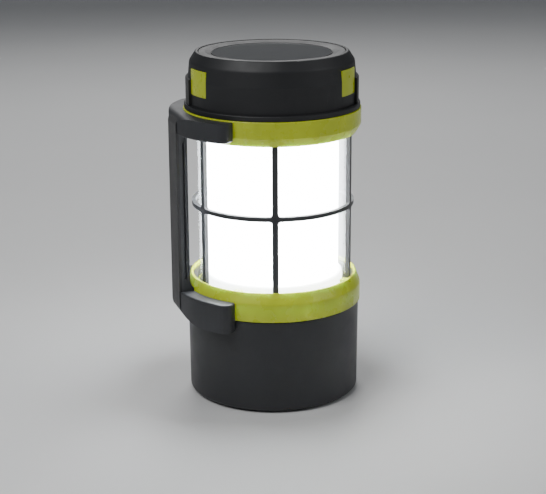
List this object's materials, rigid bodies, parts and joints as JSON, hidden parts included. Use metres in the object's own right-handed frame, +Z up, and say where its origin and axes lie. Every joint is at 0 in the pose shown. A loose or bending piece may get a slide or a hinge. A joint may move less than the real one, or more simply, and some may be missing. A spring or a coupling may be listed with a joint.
{
  "type": "camping lantern",
  "caption": "Upright battery camping lantern: caged clear lens over a glowing diffuser, lime collars, dark cap, twist-off battery base, side handle and push-button.",
  "frame": {"origin": "on the lantern's axis, at the foot pad's ground face", "axes": "+Z up along the lantern's axis, -X towards the handle, +X towards the power button"},
  "size_m": [0.1052, 0.0976, 0.192],
  "materials": {
    "charcoal_plastic": "fine moulded texture",
    "black_cap": "satin moulded",
    "cage_plastic": "satin moulded",
    "black_rubber": "matte",
    "lime_plastic": "translucent gloss",
    "white_plastic": "satin",
    "diffuser_white": "frosted, glowing",
    "clear_lens": "clear",
    "gloss_disc": "polished",
    "seal_rubber": "matte",
    "aluminium": "extruded",
    "brass": "stamped",
    "spring_steel": "drawn wire",
    "screw_steel": "zinc plated",
    "cell_wrap": null,
    "board_green": "solder mask",
    "board_white": "white solder mask",
    "led_yellow": "phosphor",
    "component_dark": "moulded",
    "lead_red": "insulated"
  },
  "bodies": {
    "lantern": {"lower_ring": "lime_plastic", "cell_dome": "white_plastic", "dome_contacts": "brass", "dome_screws": "screw_steel", "lens_gaskets": "seal_rubber", "lens_tube": "clear_lens", "diffuser": "diffuser_white", "lower_reflector": "white_plastic", "upper_reflector": "white_plastic", "led_column": "aluminium", "led_strips": "board_white", "led_chips": "led_yellow", "lead_wires": "lead_red", "cage": "cage_plastic", "upper_ring": "lime_plastic", "head_frame": "component_dark", "head_screws": "screw_steel", "driver_board": "board_green", "driver_parts": "component_dark", "switch_board": "board_green", "power_switch": "component_dark", "head_shell": "black_cap", "switch_pad": "black_rubber", "plain_pad": "black_rubber", "switch_panels": "lime_plastic", "plain_panels": "lime_plastic", "top_bezel": "black_cap", "top_disc": "gloss_disc", "handle_frame": "charcoal_plastic", "handle_pad": "black_rubber"},
    "battery_base": {"base_shell": "charcoal_plastic", "base_seal": "seal_rubber", "foot_pad": "black_rubber", "cell_cradle": "component_dark", "battery_cells": "cell_wrap", "base_contacts": "brass", "contact_springs": "spring_steel"},
    "button": {"power_button": "black_rubber"}
  },
  "joints": [
    {"name": "base_twist", "type": "hinge", "parent": "lantern", "child": "battery_base", "pos_m": [0, 0, 0.05], "axis": [0, 0, 1], "range_deg": [0, 30]},
    {"name": "button_press", "type": "slide", "parent": "lantern", "child": "button", "axis": [-1, 0, 0], "range_m": [0, 0.0015], "stiffness_N_per_m": 600, "springref_m": -0.0012}
  ]
}
